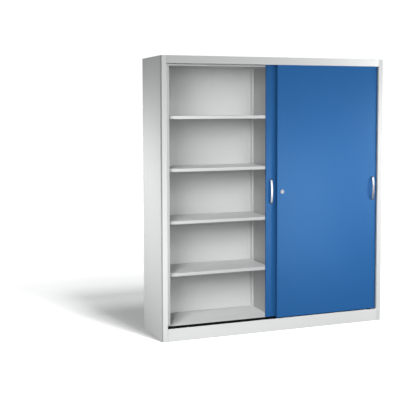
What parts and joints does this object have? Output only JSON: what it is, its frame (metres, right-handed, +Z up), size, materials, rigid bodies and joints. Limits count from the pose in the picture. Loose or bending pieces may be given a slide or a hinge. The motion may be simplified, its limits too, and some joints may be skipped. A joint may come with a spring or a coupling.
{
  "type": "sliding door cabinet",
  "caption": "Free-standing sheet-steel cabinet with overlapping sliding doors on a bottom track, bow handles, a cam lock and clip-hung shelves either side of a centre partition.",
  "frame": {"origin": "centre of the footprint on the floor, the handles included", "axes": "+Z up, the doors and handles face -Y, +X to the right seen from the front"},
  "size_m": [1.72, 0.45, 1.95],
  "materials": {
    "carcass_paint": "satin powder coat",
    "door_paint": "satin powder coat",
    "track_black": "matt",
    "zinc_steel": "zinc plated",
    "handle_aluminium": "satin",
    "lock_nickel": "satin nickel",
    "nylon": "matt",
    "rubber": "matt"
  },
  "bodies": {
    "cabinet": {"side_panel_left": "carcass_paint", "side_panel_right": "carcass_paint", "stile_left": "carcass_paint", "stile_right": "carcass_paint", "top_rail": "carcass_paint", "roof_panel": "carcass_paint", "ceiling_panel": "carcass_paint", "back_panel_left": "carcass_paint", "back_panel_right": "carcass_paint", "base_panel": "carcass_paint", "base_beams": "carcass_paint", "plinth_front": "carcass_paint", "plinth_rear": "carcass_paint", "partition_left": "carcass_paint", "partition_right": "carcass_paint", "upright_left_outer_front": "carcass_paint", "upright_left_outer_rear": "carcass_paint", "upright_left_inner_front": "carcass_paint", "upright_left_inner_rear": "carcass_paint", "upright_right_outer_front": "carcass_paint", "upright_right_outer_rear": "carcass_paint", "upright_right_inner_front": "carcass_paint", "upright_right_inner_rear": "carcass_paint", "shelf_left_1": "carcass_paint", "shelf_left_2": "carcass_paint", "shelf_left_3": "carcass_paint", "shelf_left_4": "carcass_paint", "shelf_right_1": "carcass_paint", "shelf_right_2": "carcass_paint", "shelf_right_3": "carcass_paint", "shelf_right_4": "carcass_paint", "shelf_clips": "zinc_steel", "bottom_track": "track_black", "top_guide": "zinc_steel", "door_buffers": "rubber", "levelling_feet": "zinc_steel", "foot_plates": "carcass_paint"},
    "front_door": {"front_door_panel": "door_paint", "front_door_stiffeners": "door_paint", "front_door_handle": "handle_aluminium", "front_handle_screws": "zinc_steel", "front_door_guides": "nylon", "front_roller_brackets": "zinc_steel", "front_roller_axles": "zinc_steel", "lock_housing": "lock_nickel", "lock_nut": "zinc_steel"},
    "rear_door": {"rear_door_panel": "door_paint", "rear_door_stiffeners": "door_paint", "rear_door_handle": "handle_aluminium", "rear_handle_screws": "zinc_steel", "rear_door_guides": "nylon", "rear_roller_brackets": "zinc_steel", "rear_roller_axles": "zinc_steel"},
    "front_wheel_left": {"front_wheel_left": "nylon"},
    "front_wheel_right": {"front_wheel_right": "nylon"},
    "rear_wheel_left": {"rear_wheel_left": "nylon"},
    "rear_wheel_right": {"rear_wheel_right": "nylon"},
    "lock_cylinder": {"lock_plug": "lock_nickel", "lock_cam": "zinc_steel", "lock_cam_screw": "zinc_steel"}
  },
  "joints": [
    {"name": "front_door_slide", "type": "slide", "parent": "cabinet", "child": "front_door", "axis": [-1, 0, 0], "range_m": [0, 0.828]},
    {"name": "rear_door_slide", "type": "slide", "parent": "cabinet", "child": "rear_door", "axis": [-1, 0, 0], "range_m": [0, 0.761]},
    {"name": "front_wheel_left_spin", "type": "hinge", "parent": "front_door", "child": "front_wheel_left", "pos_m": [0.096, -0.1905, 0.084], "axis": [0, 1, 0], "continuous": true},
    {"name": "front_wheel_right_spin", "type": "hinge", "parent": "front_door", "child": "front_wheel_right", "pos_m": [0.732, -0.1905, 0.084], "axis": [0, 1, 0], "continuous": true},
    {"name": "rear_wheel_left_spin", "type": "hinge", "parent": "rear_door", "child": "rear_wheel_left", "pos_m": [0.029, -0.146, 0.084], "axis": [0, 1, 0], "continuous": true},
    {"name": "rear_wheel_right_spin", "type": "hinge", "parent": "rear_door", "child": "rear_wheel_right", "pos_m": [0.732, -0.146, 0.084], "axis": [0, 1, 0], "continuous": true},
    {"name": "lock_turn", "type": "hinge", "parent": "front_door", "child": "lock_cylinder", "pos_m": [0.046, -0.198, 1], "axis": [0, 1, 0], "range_deg": [0, 90]}
  ],
  "couplings": [
    {"joint": "front_wheel_left_spin", "follows": "front_door_slide", "rad_per_m": -105.26},
    {"joint": "front_wheel_right_spin", "follows": "front_door_slide", "rad_per_m": -105.26},
    {"joint": "rear_wheel_left_spin", "follows": "rear_door_slide", "rad_per_m": -105.26},
    {"joint": "rear_wheel_right_spin", "follows": "rear_door_slide", "rad_per_m": -105.26}
  ]
}
